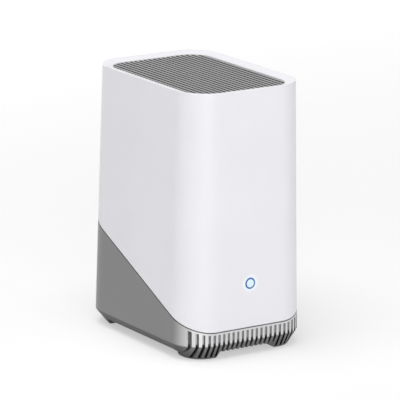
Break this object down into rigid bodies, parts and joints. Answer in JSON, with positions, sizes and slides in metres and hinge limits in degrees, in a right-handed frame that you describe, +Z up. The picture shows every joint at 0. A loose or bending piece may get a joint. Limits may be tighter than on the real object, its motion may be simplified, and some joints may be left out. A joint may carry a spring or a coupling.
{
  "type": "security camera base station",
  "caption": "Desktop base station for wireless cameras: tapered white sleeve on a finned grey wedge base, with a top vent, status ring, rear sockets and a drive tray",
  "frame": {"origin": "on the resting surface, under the middle of the body's footprint", "axes": "+X is right as seen from the front, -Y is the way the front with the status ring faces, +Z is up"},
  "size_m": [0.1026, 0.14, 0.1908],
  "materials": {
    "white_shell": "satin white moulded plastic",
    "grey_base": "silver-grey satin lacquer on moulded plastic",
    "grille_grey": "dark grey matte moulded plastic",
    "mesh_black": "black woven dust mesh",
    "ring_glow": "translucent light guide with a blue glow",
    "ring_white": "translucent white diffuser",
    "black_plastic": "black moulded plastic",
    "frame_plastic": "dark moulded frame plastic",
    "rubber": "dark soft rubber",
    "zinc_sheet": "zinc plated steel sheet",
    "screw_steel": "plated steel",
    "brass": "brass",
    "circuit_board": "green solder mask on a fibreglass board",
    "chip_black": "moulded chip package",
    "gold_contact": "gold plated contacts",
    "port_metal": "nickel plated shell",
    "heat_sink": "bare extruded aluminium",
    "thermal_pad": "soft grey-blue thermal pad",
    "cone_paper": "black coated paper cone",
    "cable_black": "black cable jacket",
    "led_lamp": "small surface mounted lamps",
    "antenna_film": "copper film on a thin carrier"
  },
  "bodies": {
    "housing": {"housing_shell": "white_shell", "top_grille": "grille_grey", "dust_mesh": "mesh_black", "base_shell": "grey_base", "foot_pads": "rubber", "drive_cage": "zinc_sheet", "cage_screws": "screw_steel", "sata_board": "circuit_board", "sata_board_screws": "screw_steel", "sata_connector": "black_plastic", "sata_cable": "cable_black", "tray_nut": "brass", "board_standoffs": "brass", "main_board": "circuit_board", "board_screws": "screw_steel", "processor": "chip_black", "memory_chips": "chip_black", "storage_chip": "chip_black", "speaker_plug": "ring_white", "shield_cans": "port_metal", "capacitors": "port_metal", "thermal_pad": "thermal_pad", "heat_sink": "heat_sink", "sink_pins": "black_plastic", "lan_socket": "port_metal", "lan_contacts": "gold_contact", "usb_socket": "port_metal", "usb_tongue": "black_plastic", "power_socket": "black_plastic", "power_pin": "port_metal", "sync_switch": "black_plastic", "reset_switch": "black_plastic", "light_ring": "ring_glow", "ring_core": "ring_white", "ring_shroud": "black_plastic", "led_board": "circuit_board", "led_board_screws": "screw_steel", "ring_leds": "led_lamp", "led_cable": "cable_black", "tower_frame": "frame_plastic", "tower_screws": "screw_steel", "housing_screws": "screw_steel", "speaker_gasket": "rubber", "speaker_basket": "frame_plastic", "speaker_screws": "screw_steel", "speaker_magnet": "screw_steel", "speaker_cone": "cone_paper", "cone_surround": "rubber", "speaker_lead": "cable_black", "antennas": "antenna_film", "coax_plugs": "gold_contact", "coax_leads": "cable_black"},
    "drive_tray": {"drive_tray": "grey_base", "drive_grommets": "rubber"},
    "tray_screw": {"tray_screw": "screw_steel"},
    "sync_button": {"sync_button": "grey_base"},
    "sync_plunger": {"sync_plunger": "gold_contact"},
    "reset_button": {"reset_button": "ring_white"}
  },
  "joints": [
    {"name": "tray_slide", "type": "slide", "parent": "housing", "child": "drive_tray", "axis": [0, 1, 0], "range_m": [0, 0.104]},
    {"name": "tray_screw_turn", "type": "hinge", "parent": "drive_tray", "child": "tray_screw", "pos_m": [0, 0.062, 0.0372], "axis": [0, 1, 0], "continuous": true},
    {"name": "sync_press", "type": "slide", "parent": "housing", "child": "sync_button", "axis": [0, -1, 0], "range_m": [0, 0.0004], "stiffness_N_per_m": 400},
    {"name": "sync_plunger_press", "type": "slide", "parent": "housing", "child": "sync_plunger", "axis": [0, -1, 0], "range_m": [0, 0.0004]},
    {"name": "reset_press", "type": "slide", "parent": "housing", "child": "reset_button", "axis": [0, -1, 0], "range_m": [0, 0.00025], "stiffness_N_per_m": 400}
  ],
  "couplings": [
    {"joint": "sync_plunger_press", "follows": "sync_press", "ratio": 1}
  ]
}
